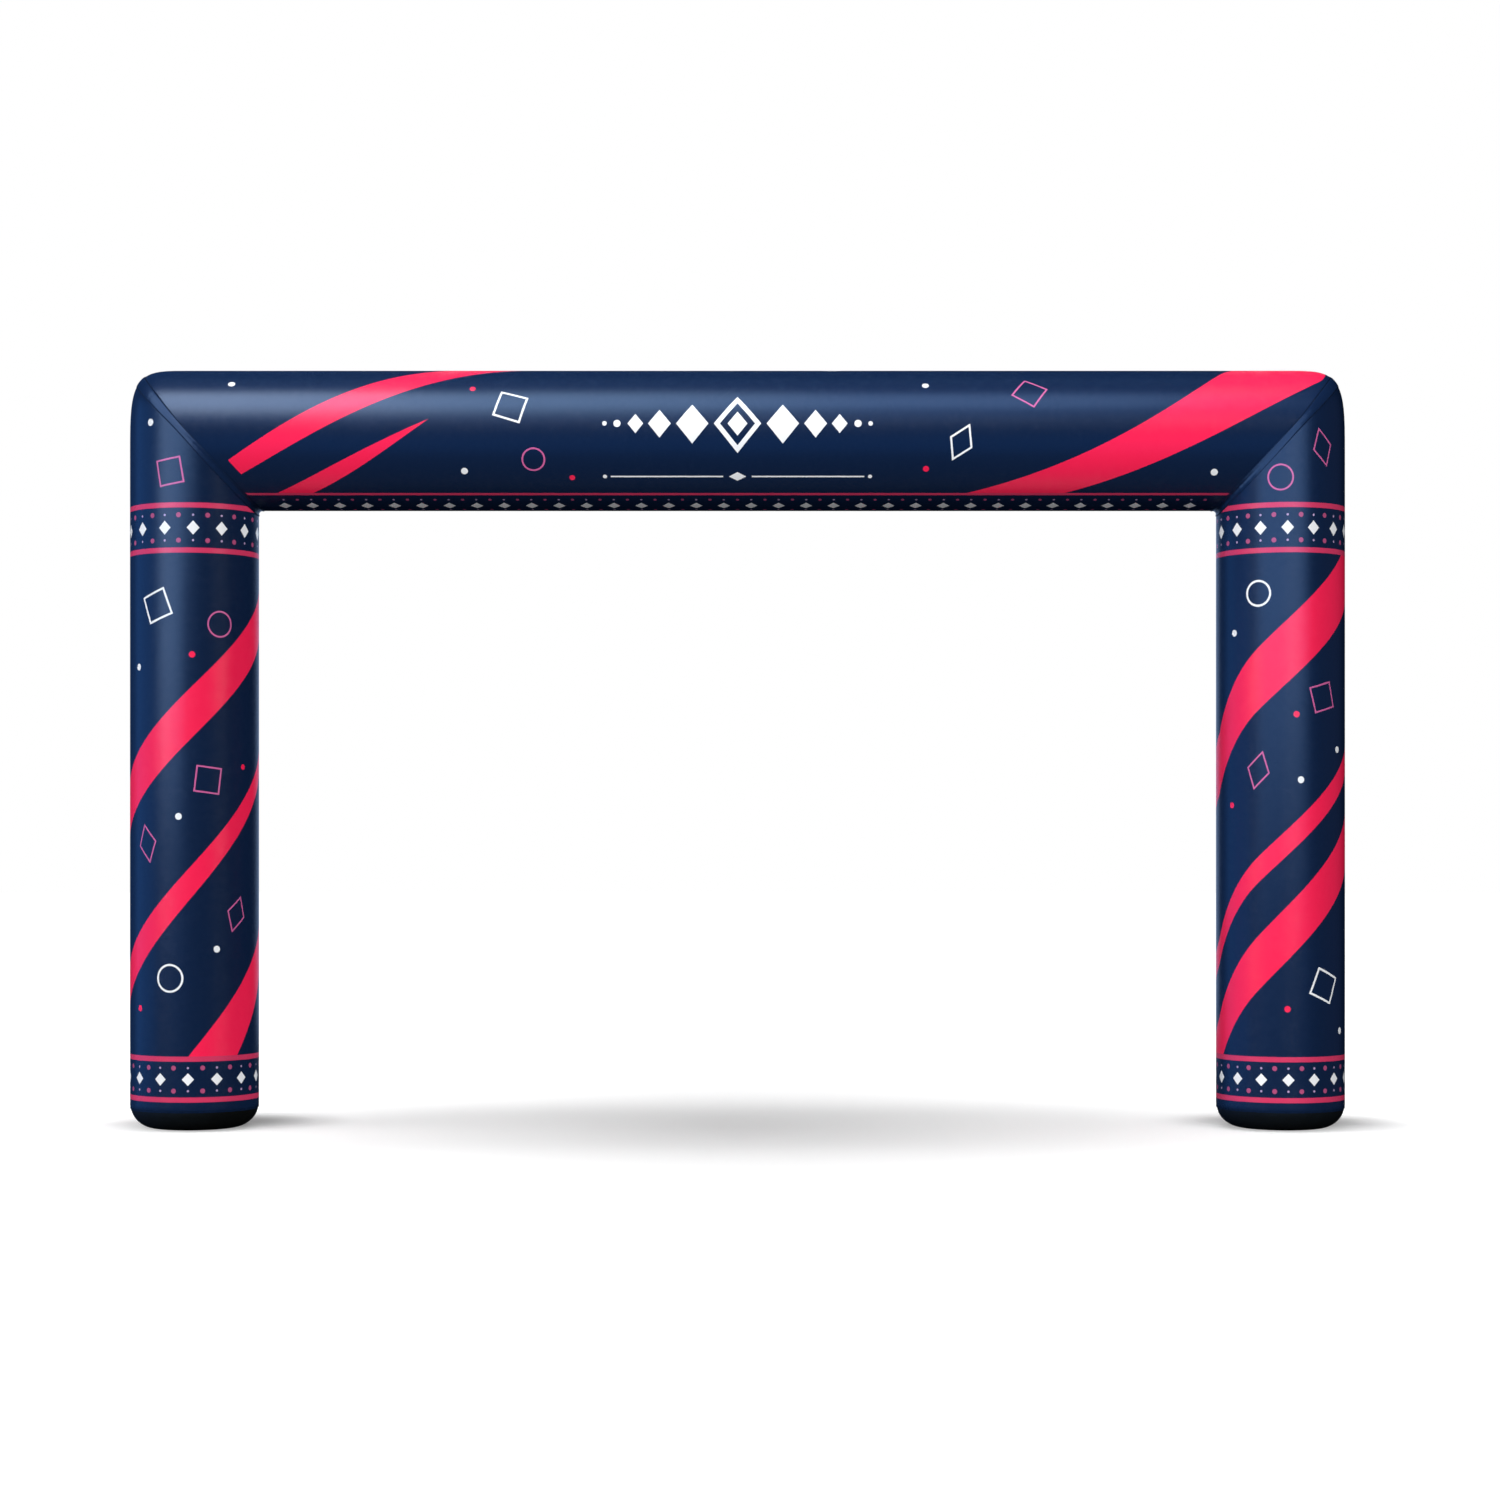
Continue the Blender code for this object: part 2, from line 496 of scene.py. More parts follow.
scatters["header"] = (
    ("white square", 22, -1.18, 0.15, 28),
    ("pink ring", -22, -1.06, 0.062),
    ("white lozenge", -8, 1.16, 0.105, 64),
    ("pink square", 36, 1.52, 0.14, 12),
    ("white dot", 46, -2.64, 0.019),
    ("white dot", 44, 0.98, 0.018),
    ("crimson dot", 40, -1.38, 0.016),
    ("white dot", -32, -1.42, 0.018),
    ("crimson dot", -38, -0.86, 0.015),
    ("white dot", -33, 2.48, 0.019),
    ("crimson dot", -30, 0.98, 0.016),
    ("pink square", 96, -0.3, 0.15, 35),
    ("white ring", 88, 0.5, 0.075),
    ("pink lozenge", 100, 1.7, 0.11, 20),
    ("white square", 150, 1.35, 0.15, 48),
    ("pink lozenge", 156, 0.35, 0.11, -15),
    ("white ring", 160, 2.3, 0.075),
    ("pink square", -160, -1, 0.15, 22),
    ("pink ring", -155, 1.5, 0.075),
    ("white lozenge", 165, -2.2, 0.11, 10),
    ("white dot", 120, 0.9, 0.018),
    ("crimson dot", 128, 0.08, 0.017),
    ("white dot", 175, -1.55, 0.018),
    ("crimson dot", -170, 2, 0.017),
)
outlineWidths = {"white": 0.011, "pink": 0.009}
# A shape's corners, how far out they are, and how slim it is
shapes = {
    "ring": (40, 1.0, 1.0),
    "square": (4, math.sqrt(0.5), 1.0),
    "lozenge": (4, 1.0, 0.62),
}


def finely(points, step=0.014):
    # the same outline, its corners no further apart than this
    points = np.asarray(points, float)
    fine = []
    for start, end in zip(points, np.roll(points, -1, axis=0)):
        count = max(1, math.ceil(np.linalg.norm(end - start) / step))
        fine += [start + (end - start) * i / count for i in range(count)]
    return np.array(fine)


def polygon(around, along, radii, turn=0.0, squash=1.0):
    # corners at these radii, the first one straight up
    turns = turn + fullTurn(len(radii))
    across = np.array(radii) * np.sin(turns) * squash
    return together(around + across, along + np.array(radii) * np.cos(turns))


def lozenge(ink, around, along, wide, high):
    return Motif(ink, finely(polygon(around, along, (high / 2, wide / 2) * 2)))


def dot(ink, around, along, radius, corners=14):
    return Motif(ink, polygon(around, along, [radius] * corners))


def bar(ink, left, right, bottom, top, step=0.014):
    return Motif(ink, finely(((left, bottom), (right, bottom), (right, top), (left, top)), step))


def ribbonMotif(ribbon, radius, field, mitreLimit):
    degrees = np.linspace(ribbon.fromAngle, ribbon.toAngle, ribbonLook["corners"])
    held = np.clip(degrees, -ribbonLook["bendWithin"], ribbonLook["bendWithin"])
    middle = ribbon.front + ribbon.rise * degrees + ribbon.bend * (2 * held * degrees - held**2)
    middle = middle + ribbon.hook * np.clip(-30 - degrees, 0, 50) ** 2
    shown = np.clip(degrees, -ribbonLook["widenWithin"], ribbonLook["widenWithin"])
    half = (ribbon.width + ribbon.widen * shown + ribbon.flare * shown**2) / 2
    ends = ((ribbon.fromTip, degrees - ribbon.fromAngle), (ribbon.toTip, ribbon.toAngle - degrees))
    for tip, left in ends:
        if tip:
            half = half * (1 - (1 - np.clip(left / tip, 0, 1)) ** ribbonLook["tipPower"])
    low = np.clip(middle - half, *field)
    high = np.clip(middle + half, *field)
    around = radius * np.radians(degrees)
    if mitreLimit is not None:
        limit = mitreLimit(around) - ribbon.trim
        low = np.clip(low, -limit, limit)
        soft = ribbonLook["soft"]
        high = np.maximum(limit - soft * np.logaddexp(0, (limit - high) / soft), -limit)
    outline = np.concatenate((together(around, low), together(around, high)[::-1]))
    return Motif("crimson", finely(outline))


def scatterMotifs(item, radius):
    around = radius * math.radians(item.around)
    turn = math.radians(item.turn)
    ink, shape = item.what.split()
    if shape == "dot":
        return [dot(ink, around, item.along, item.size, 18)]
    corners, reach, squash = shapes[shape]
    thick = outlineWidths[ink] / math.cos(math.pi / corners) / min(1.0, squash + 0.2)
    outer = polygon(0, 0, [item.size * reach] * corners, 0, squash)
    inner = polygon(0, 0, [item.size * reach - thick] * corners, 0, squash)
    turned = np.array(((math.cos(turn), -math.sin(turn)), (math.sin(turn), math.cos(turn))))
    place = np.array((around, item.along))
    return [
        Motif(ink, finely(outer @ turned + place)),
        Motif("navy", finely(inner @ turned + place)),  # the cloth's own colour inside
    ]


def printMotifs(label, radius, field, mitreLimit=None):
    motifs = [ribbonMotif(Ribbon(*row), radius, field, mitreLimit) for row in ribbons[label]]
    for row in scatters[label]:
        motifs += scatterMotifs(Scatter(*row), radius)
    return motifs


def bandMotifs(band, radius):
    half = radius * math.pi * 1.02  # a little past the panel's edges
    thin = bandLook["line"] / 2
    motifs = []
    for line in (band.middle - band.halfWidth, band.middle + band.halfWidth):
        motifs.append(bar("rose", -half, half, line - thin, line + thin))
    step = 2 * math.pi * radius / band.count
    start = radius * math.radians(band.first)
    rows = bandLook["dotRow"] * band.halfWidth / bandLook["halfWidth"]
    for i in range(-band.count, band.count + 1):
        around = start + i * step
        if abs(around) > half + step / 2:
            continue
        motifs.append(lozenge("white", around, band.middle, band.wide, band.high))
        for row in (-rows, rows):
            motifs.append(dot("pale", around, band.middle + row, bandLook["smallDot"], 10))
            motifs.append(dot("mauve", around + step / 2, band.middle + row, bandLook["bigDot"]))
    return motifs


def underBandMotifs(radius):
    # along the header's underside, between the two mitres
    motifs = []
    arc = radius * math.radians(1)
    thin = underBand["line"] / 2
    reach = underBand["reach"]
    for degrees in underBand["lines"]:
        line = degrees * arc
        motifs.append(bar("rose", line - thin, line + thin, -reach, reach, 0.03))
    for row in underBand["rows"]:
        for i in range(underBand["lozenges"]):
            along = (i - (underBand["lozenges"] - 1) / 2) * underBand["spacing"]
            motifs.append(lozenge("white", row * arc, along, underBand["high"], underBand["wide"]))
            for shift in (-bandLook["dotRow"], bandLook["dotRow"]):
                between = along + underBand["spacing"] / 2
                motifs.append(dot("pale", row * arc + shift, along, bandLook["smallDot"], 10))
                motifs.append(dot("mauve", row * arc + shift, between, underBand["bigDot"]))
    return motifs


# A plain ornament on the header: white lozenges that grow to the middle
ornament = {
    "row": 0.045,  # metres above the front line
    "lozenges": ((0.0, 0.300), (0.235, 0.205), (0.405, 0.145), (0.530, 0.100)),  # along, height
    "slim": 0.82,
    "dots": ((0.625, 0.019), (0.690, 0.012)),  # along, radius
    "rule": -0.232,
    "ruleHalf": 0.66,
    "ruleThick": 0.008,
    "ruleGap": 0.075,
}


def ornamentMotifs():
    motifs = []
    row = ornament["row"]
    for along, high in ornament["lozenges"]:
        for side in ((-1, 1) if along else (1,)):
            motifs.append(lozenge("white", row, side * along, high, high * ornament["slim"]))
    middle = ornament["lozenges"][0][1]
    for share, ink in ((0.74, "navy"), (0.42, "white")):
        motifs.append(lozenge(ink, row, 0, middle * share, middle * share * ornament["slim"]))
    for along, radius in ornament["dots"]:
        for side in (-1, 1):
            motifs.append(dot("white", row, side * along, radius))
    rule = ornament["rule"]
    thin = ornament["ruleThick"] / 2
    for side in (-1, 1):
        near, far = side * ornament["ruleGap"], side * ornament["ruleHalf"]
        motifs.append(bar("white", rule - thin, rule + thin, near, far, 0.03))
        motifs.append(dot("white", rule, far + side * 0.03, 0.011, 12))
    motifs.append(lozenge("white", rule, 0, 0.050, 0.090))
    return motifs


def insidePolygon(points, outline):
    inside = np.zeros(len(points), bool)
    x, y = points[:, 0], points[:, 1]
    for (ax, ay), (bx, by) in zip(outline, np.roll(outline, -1, axis=0)):
        if ay == by:
            continue
        crosses = (ay > y) != (by > y)
        inside ^= crosses & (x < (bx - ax) * (y - ay) / (by - ay) + ax)
    return inside


panelLook = {
    "underTape": 0.004,  # how far short of the mitre the cloth stops, under the tape
    "columns": 288,
    "pitch": 0.05,
    "closeRows": (  # rows of points near both ends, where the cloth is gathered
        0, 0.006, 0.013, 0.021, 0.030, 0.041, 0.055, 0.075, 0.10, 0.135, 0.18, 0.235, 0.30, 0.38,
    ),
}


def cutPanel(half, ends, motifs):
    # a flat sheet of triangles that follow the outlines of the print
    columns = panelLook["columns"]
    pitch = panelLook["pitch"]
    closeRows = panelLook["closeRows"]
    fine = np.linspace(-half, half, columns + 1)
    low, high = ends(fine)
    points = [together(fine, low), together(fine, high)]
    for back in closeRows[1:]:
        points += [together(fine, low + back), together(fine, high - back)]
    last = closeRows[-1] + pitch / 2
    for along in np.arange(low.min(), high.max(), pitch):
        row = together(fine[::2], np.full(len(fine[::2]), along))
        points.append(row[(low[::2] + last < along) & (along < high[::2] - last)])
    edges = [(i, i + 1) for i in range(columns)]
    edges += [(columns + 1 + i, columns + 2 + i) for i in range(columns)]
    edges += [(0, columns + 1), (columns, 2 * columns + 1)]
    count = sum(len(part) for part in points)
    for motif in motifs:
        size = len(motif.outline)
        edges += [(count + i, count + (i + 1) % size) for i in range(size)]
        points.append(motif.outline)
        count += size
    flat = [Vector(point) for point in np.concatenate(points).tolist()]
    corners, _, faces, *_ = delaunay_2d_cdt(flat, edges, [], 0, 1e-6)
    places = np.array([tuple(point) for point in corners])
    faces = np.array(faces)
    middles = places[faces].mean(axis=1)
    lowEnd = np.interp(middles[:, 0], fine, low)
    highEnd = np.interp(middles[:, 0], fine, high)
    kept = (np.abs(middles[:, 0]) < half) & (middles[:, 1] > lowEnd) & (middles[:, 1] < highEnd)
    faces, middles = faces[kept], middles[kept]
    ink = np.zeros(len(faces), int)
    for motif in motifs:
        least, most = motif.outline.min(axis=0), motif.outline.max(axis=0)
        near = np.flatnonzero(((middles > least) & (middles < most)).all(axis=1))
        if len(near):
            hit = near[insidePolygon(middles[near], motif.outline)]
            ink[hit] = inkOrder.index(motif.ink)
    used, faces = np.unique(faces, return_inverse=True)
    return places[used], faces.reshape(-1, 3), ink


def meshPiece(name, points, faces, materials, ink=None, lay=None, normals=None):
    mesh = bpy.data.meshes.new(name)
    mesh.from_pydata(points.tolist(), [], faces)
    for material in materials:
        mesh.materials.append(material)
    if ink is not None:
        mesh.polygons.foreach_set("material_index", ink)
    mesh.shade_smooth()
    if lay is not None:
        corners = [corner for face in faces for corner in face]
        layer = mesh.uv_layers.new(name="lay")
        layer.data.foreach_set("uv", lay[corners].ravel())
    if normals is not None:
        mesh.normals_split_custom_set_from_vertices(normals.tolist())
    mesh.validate()
    piece = bpy.data.objects.new(name, mesh)
    scene.collection.objects.link(piece)
    return piece


def unit(vectors):
    return vectors / np.maximum(np.linalg.norm(vectors, axis=-1, keepdims=True), 1e-12)


def surfaceNormals(surface, around, along, step=0.0004):
    across = surface(around + step, along) - surface(around - step, along)
    lengthwise = surface(around, along + step) - surface(around, along - step)
    return unit(np.cross(across, lengthwise))


def flatArea(places, faces):
    a, b, c = (places[faces[:, i]] for i in range(3))
    one, two = b - a, c - a
    return float(np.abs(one[:, 0] * two[:, 1] - one[:, 1] * two[:, 0]).sum() / 2)


def wrapPanel(name, radius, ends, surface, motifs, facing):
    places, faces, ink = cutPanel(math.pi * radius, ends, motifs)
    around, along = places[:, 0], places[:, 1]
    points = surface(around, along)
    normals = facing * surfaceNormals(surface, around, along)
    area = flatArea(places, faces)
    faces = faces[:, ::facing].tolist()
    piece = meshPiece(name, points, faces, inkMaterials, ink, places, normals)
    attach(piece, "root")
    print(name, len(piece.data.polygons), "triangles")
    return piece, area


def makeLeg(word, side):
    seam = arch["baseSeam"] + arch["seamGap"]

    def angleOf(around):
        return math.pi / 2 - side * around / legRadius

    def ends(around):
        return np.full(len(around), seam), mitreHeight(angleOf(around)) - panelLook["underTape"]

    def surface(around, along):
        angle = angleOf(around)
        back = mitreHeight(angle) - along
        lift = mitreGather(angle, back, side) + footGather(angle, along - seam, side)
        return legSurface(side, angle, back, lift)

    top, bottom = (Band(*row) for row in bands["leg" + word])
    field = (bottom.middle + bottom.halfWidth, top.middle - top.halfWidth)
    motifs = printMotifs("leg" + word, legRadius, field)
    for band in (top, bottom):
        motifs += bandMotifs(band, legRadius)
    piece, area = wrapPanel("legSkin" + word, legRadius, ends, surface, motifs, 1)
    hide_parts("leg_" + word.lower())
    length = float(mitreHeight(0.0)) - panelLook["underTape"] - seam
    return piece


def makeHeader():
    def angleOf(around):
        return math.pi / 2 - around / headerRadius

    def reach(around):
        return mitreReach(angleOf(around))

    def ends(around):
        end = reach(around) - panelLook["underTape"]
        return -end, end

    def surface(around, along):
        angle = angleOf(around)
        back = mitreReach(angle) - np.abs(along)
        right = along >= 0
        lift = np.where(right, mitreGather(angle, back, 1), mitreGather(angle, back, -1))
        points = headerSurface(1, angle, back, lift)
        points[..., 0] *= np.where(right, 1, -1)
        return points

    motifs = printMotifs("header", headerRadius, (-4, 4), reach)
    motifs += ornamentMotifs()
    motifs += underBandMotifs(headerRadius)
    piece, area = wrapPanel("headerSkin", headerRadius, ends, surface, motifs, -1)
    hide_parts("header")
    length = 2 * (float(mitreReach(0.0)) - panelLook["underTape"])
    return piece


made = {"header": [makeHeader()]}
for word, side in sides.items():
    made["leg" + word] = [makeLeg(word, side)]


mitreTape = {
    "halfWidth": 0.029,  # along either tube
    "lift": 0.0022,
    "columns": 432,
    "grooveIn": 0.0035,  # from the tape's edge to its stitching
    "grooveDepth": 0.0019,
    "grooveWidth": 0.0026,
    "edge": 0.0008,  # over which it comes down to the cloth
    "ripple": 0.00012,
    "ripples": (118, 149, 187),
    "ridge": 0.004,  # rounding of the crease on the outer half
    "valley": 0.020,  # and on the portal's side
}
tapeSeam = mitreTape["halfWidth"] - mitreTape["grooveIn"]


def acrossMitre(side, angle, across, lift):
    # across is below 0 on the leg, above 0 on the header
    onLeg = legSurface(side, angle, np.maximum(-across, 0), lift)
    onHeader = headerSurface(side, angle, np.maximum(across, 0), lift)
    return np.where((across < 0)[..., None], onLeg, onHeader)


def tapeLift(angle, across, side):
    near = np.abs(across)
    gather = mitreGather(angle, near, side)
    lift = mitreTape["lift"] + gather
    groove = np.exp(-(((near - tapeSeam) / mitreTape["grooveWidth"]) ** 2))
    outer = np.clip((np.cos(angle) + 0.35) / 0.55, 0, 1)  # shallow on the portal's side
    lift = lift - mitreTape["grooveDepth"] * groove * (0.25 + 0.75 * outer)
    chance = random.Random(31 + side)
    ripple = 0
    for count in mitreTape["ripples"]:
        ripple = ripple + np.sin(count * angle + chance.uniform(0, 2 * math.pi) + across * 90)
    middle = np.clip(1 - near / tapeSeam, 0, 1)
    lift = lift + mitreTape["ripple"] * ripple / len(mitreTape["ripples"]) * np.sqrt(middle)
    edge = np.clip((mitreTape["halfWidth"] - near) / mitreTape["edge"], 0, 1)
    return lift * (0.15 + 0.85 * edge) + (1 - edge) * gather


def tapeSurface(side, angle, across):
    lift = tapeLift(angle, across, side)
    inner = np.sqrt(np.maximum(-np.cos(angle), 0))
    soft = mitreTape["ridge"] + (mitreTape["valley"] - mitreTape["ridge"]) * inner
    spread = np.clip(1 - np.abs(across) / soft, 0, 1) * soft
    points = 0
    for share, weight in ((-1, 0.25), (0, 0.5), (1, 0.25)):
        points = points + weight * acrossMitre(side, angle, across + share * spread, lift)
    return points


def gridFaces(rows, columns):
    # the faces between closed rings of points
    start = np.arange(rows - 1)[:, None] * columns
    column = np.arange(columns)
    after = (column + 1) % columns
    corners = (start + column, start + after, start + columns + after, start + columns + column)
    return together(*corners).reshape(-1, 4)


def makeTape(word, side):
    half = mitreTape["halfWidth"]
    steps = np.concatenate((  # closest where the stitching pulls the tape down
        (half, half - mitreTape["edge"]),
        np.linspace(half - 0.0016, half - 0.0076, 10),
        np.linspace(half - 0.0100, 0.001, 8),
    ))
    across = np.concatenate((-steps, (0,), steps[::-1]))
    columns = mitreTape["columns"]
    angles = fullTurn(columns) - math.pi
    grid = np.meshgrid(angles, across)
    points = tapeSurface(side, grid[0], grid[1]).reshape(-1, 3)
    faces = gridFaces(len(across), columns)
    if side > 0:
        faces = faces[:, ::-1]
    lay = together(grid[0] * tapeLook["layRadius"], grid[1]).reshape(-1, 2)
    piece = meshPiece("mitreTape" + word, points, faces.tolist(), [tapeMaterial], None, lay)
    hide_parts("mitre_tape_" + word.lower())
    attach(piece, "root")
    line = tapeSurface(side, angles, np.zeros_like(angles))
    length = float(np.linalg.norm(line - np.roll(line, -1, axis=0), axis=1).sum())
    area = sum(face.area for face in piece.data.polygons)
    area / length
    print("tape", word, len(faces), "faces,", round(length, 3), "m long")
    return piece


for word, side in sides.items():
    made["tape" + word] = [makeTape(word, side)]


baseShape = {
    "rim": 0.112,  # the rim goes up inside the leg's cloth
    "tuck": 0.0012,
    "tuckFrom": 0.085,  # it draws in from here to the rim
    "slack": 0.0006,
    "slackFolds": (9, 14, 23),
    "flatReach": 0.21,  # about half the flat bottom's width
    "columns": 192,
    "rings": 22,
    "floorRings": 10,
}


def makeBase(word, side):
    columns = baseShape["columns"]
    radius = arch["footRadius"]
    seam = arch["baseSeam"]
    angles = fullTurn(columns)
    rows = []
    lay = []

    def addRing(wide, deep, height, layWide, layDeep):
        out = side * (legX + wide * np.cos(angles))
        rows.append(together(out, -deep * np.sin(angles), np.full_like(angles, height)))
        lay.append(together(layWide * np.cos(angles), layDeep * np.sin(angles)))

    for share in np.linspace(0.02, 1, baseShape["floorRings"], endpoint=False):
        wide = (legHalf - radius) * share
        deep = (depthHalf - radius) * share
        addRing(wide, deep, 0, wide, deep)
    chance = random.Random(41 + side)
    phases = [chance.uniform(0, 2 * math.pi) for _ in baseShape["slackFolds"]]
    turns = np.linspace(0, math.acos((radius - baseShape["rim"]) / radius), baseShape["rings"])
    for turn in turns:
        height = radius * (1 - np.cos(turn))
        inset = radius - math.sqrt(max(radius**2 - (radius - height) ** 2, 0))
        behind = (height - baseShape["tuckFrom"]) / (baseShape["rim"] - baseShape["tuckFrom"])
        inset = inset + baseShape["tuck"] * (0.4 + max(0, behind))
        pull = footGather(angles, seam - height, side) if height < seam else 0
        slack = sum(np.sin(count * angles + phase)
                    for count, phase in zip(baseShape["slackFolds"], phases))
        slack = slack * baseShape["slack"] * math.sin(math.pi * min(1, height / seam))
        grown = pull + slack - inset
        reach = baseShape["flatReach"] + radius * turn
        addRing(legHalf + grown, depthHalf + grown, height, reach, reach)
    middle = len(rows) * columns
    points = np.concatenate(rows + [np.array([(side * legX, 0, 0)])])
    lay = np.concatenate(lay + [np.zeros((1, 2))])
    faces = gridFaces(len(rows), columns).tolist()
    faces += [(middle, (i + 1) % columns, i) for i in range(columns)]
    if side > 0:
        faces = [face[::-1] for face in faces]
    piece = meshPiece("baseCup" + word, points, faces, [baseMaterial], None, lay)
    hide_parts("base_" + word.lower())
    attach(piece, "root")
    return piece


for word, side in sides.items():
    made["leg" + word].append(makeBase(word, side))


stitch = {
    "length": 0.0052,
    "gap": 0.0016,
    "thread": 0.0010,
    "stand": 0.0003,  # how far off the cloth its middle lies
    "along": (0.0, 0.18, 0.5, 0.82, 1.0),
    "rise": (-1.6, 0.2, 1.0, 0.2, -1.6),  # in threads
    "thick": (0.6, 0.95, 1.0, 0.95, 0.6),
    "ringSides": 5,
    "footRows": (0.0055, 0.0105),  # above the base's seam
}


def stitchRow(line, normals):
    # one stitch after another along a closed line
    line, normals = (np.concatenate((part, part[:1])) for part in (line, normals))
    run = np.concatenate(((0,), np.cumsum(np.linalg.norm(np.diff(line, axis=0), axis=1))))
    count = int(run[-1] / (stitch["length"] + stitch["gap"]))
    start = np.arange(count)[:, None] * run[-1] / count
    at = start + np.array(stitch["along"]) * stitch["length"]
    spine = together(*(np.interp(at, run, line[:, i]) for i in range(3)))
    up = unit(together(*(np.interp(at, run, normals[:, i]) for i in range(3))))
    along = unit(spine[:, -1] - spine[:, 0])[:, None]
    sideways = unit(np.cross(np.broadcast_to(along, up.shape), up))
    rise = np.array(stitch["rise"]) * stitch["thread"] + stitch["stand"]
    thick = np.array(stitch["thick"]) * stitch["thread"]
    spine = spine + up * rise[None, :, None]
    turns = fullTurn(stitch["ringSides"])
    ring = np.cos(turns)[:, None] * sideways[:, :, None] + np.sin(turns)[:, None] * up[:, :, None]
    return (spine[:, :, None] + ring * thick[None, :, None, None]).reshape(-1, 3)


def makeStitches(name, surface, side, rows):
    turn = np.linspace(0, 2 * math.pi, 1440, endpoint=False)
    points = []
    for row in rows:
        place = np.full_like(turn, row)
        outward = -side * surfaceNormals(surface, turn, place, 0.0005)
        points.append(stitchRow(surface(turn, place), outward))
    points = np.concatenate(points)
    rings = len(stitch["along"])
    each = rings * stitch["ringSides"]
    count = len(points) // each
    one = gridFaces(rings, stitch["ringSides"])
    faces = np.concatenate([one + i * each for i in range(count)])
    piece = meshPiece(name, points, faces.tolist(), [threadMaterial])
    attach(piece, "root")
    print(name, count, "stitches,", len(faces), "faces")
    return piece


def sewMitre(word, side):
    def surface(angle, across):
        return tapeSurface(side, angle, across)

    rows = (-tapeSeam, tapeSeam)
    return makeStitches("mitreStitches" + word, surface, side, rows)


def sewFoot(word, side):
    def surface(angle, height):
        lift = footGather(angle, height - arch["baseSeam"], side)
        return legSurface(side, angle, mitreHeight(angle) - height, lift)

    rows = [arch["baseSeam"] + above for above in stitch["footRows"]]
    return makeStitches("footStitches" + word, surface, side, rows)


for word, side in sides.items():
    made["tape" + word].append(sewMitre(word, side))
    made["leg" + word].append(sewFoot(word, side))


studio = {
    "floorWhite": 0.90,
    "paintedFootShade": 0.30,  # painted shade: the share of the floor's colour and glow left under a foot
    "paintedShadeShift": (0.09, 0.35),  # how far to the right and back the painted shade falls
    "glow": (0.035, 0.13, 0.018),  # the floor's own painted glow, and how it grows with the distance from the arch
    "radius": 90.0,
    "fill": 0.10,
    "sheen": 0.19,
    "washAngle": 25,  # degrees, which softens a wash's shadows
}


def dressed(graph):
    # the shape just added gets this material and its name
    piece = bpy.context.object
    piece.name = graph.owner.name
    piece.data.materials.append(graph.owner)
    return piece


def makeFloor():
    # painted light and shade: its glow grows away from the arch, and painted shade darkens it round the
    # feet
    graph = newMaterial("studioFloor")

    def shift(operation, first, second=(0, 0, 0), output=0):
        sockets = {0: first, 1: second}
        return graph.add("ShaderNodeVectorMath", {"operation": operation}, sockets, output)

    place = graph.add("ShaderNodeTexCoord", None, None, "Object")
    away = shift("LENGTH", shift("MULTIPLY", place, (1, 0.6, 0)), output="Value")
    moved = shift("SUBTRACT", place, (*studio["paintedShadeShift"], 0))
    side = shift("ABSOLUTE", shift("MULTIPLY", moved, (1, 0, 0)))
    deep = shift("MULTIPLY", moved, (0, 1.1, 0))
    fromFoot = shift("ADD", shift("SUBTRACT", side, (legX, 0, 0)), deep)
    shade = shift("LENGTH", fromFoot, output="Value")
    # painted shade round the feet: the floor's colour and glow are dimmed near each foot
    clear = smoothly(graph, shade, (0.12, 0.78), (studio["paintedFootShade"], 1.0))
    least, rise, curve = studio["glow"]
    # painted light: the floor glows more the further it lies from the arch, so the shadow pool under it
    # fades out
    glow = graph.maths("MINIMUM", least + (rise + curve * away) * away, 1.0)
    grain = graph.add("ShaderNodeTexNoise", None, {"Scale": 60.0, "Detail": 3.0})
    shader = graph.add("ShaderNodeBsdfPrincipled", None, {
        "Base Color": clear * studio["floorWhite"],
        "Roughness": 0.85 + 0.1 * grain,
        "Specular IOR Level": 0.0,
        "Emission Color": glow * clear,
        "Emission Strength": 1.0,
    })
    graph.add("ShaderNodeOutputMaterial", None, {"Surface": shader})
    bpy.ops.mesh.primitive_circle_add(vertices=96, radius=studio["radius"], fill_type="NGON",
                                      location=(0, 0, -0.0008))  # a hair under the bases
    return dressed(graph)


def makeWall():
    graph = newMaterial("studioWall")
    light = graph.add("ShaderNodeEmission")  # plain white
    graph.add("ShaderNodeOutputMaterial", None, {"Surface": light})
    bpy.ops.mesh.primitive_uv_sphere_add(segments=64, ring_count=32, radius=studio["radius"])
    return dressed(graph)


def makeAir():
    # a weak white fill, and a blue sheen in what the cloth mirrors above and on the left
    graph = Graph(bpy.data.worlds.new("studioAir"))
    ahead = graph.add("ShaderNodeTexCoord", None, None, "Generated")
    up = axisOf(graph, ahead, "Z")
    right = axisOf(graph, ahead, "X")
    share = graph.add("ShaderNodeMath", {"operation": "SUBTRACT", "use_clamp": True}, {0: up, 1: right})
    fill = graph.add("ShaderNodeBackground", None, {
        "Color": (0.94, 0.97, 1.0, 1),
        "Strength": studio["fill"],
    })
    sheen = graph.add("ShaderNodeBackground", None, {
        "Color": (0.10, 0.32, 1.0, 1),
        "Strength": studio["sheen"] * share,
    })
    mirrored = graph.add("ShaderNodeLightPath", None, None, "Is Glossy Ray")
    both = graph.add("ShaderNodeMixShader", None, {0: mirrored, 1: fill, 2: sheen})
    graph.add("ShaderNodeOutputWorld", None, {"Surface": both})
    scene.world = graph.owner


made["floor"] = [makeFloor()]
for piece in (made["floor"][0], makeWall()):
    piece.visible_diffuse = False
    piece.visible_glossy = False
    piece.visible_transmission = False
    piece.visible_shadow = False  # the header's underside is lit from below
makeAir()

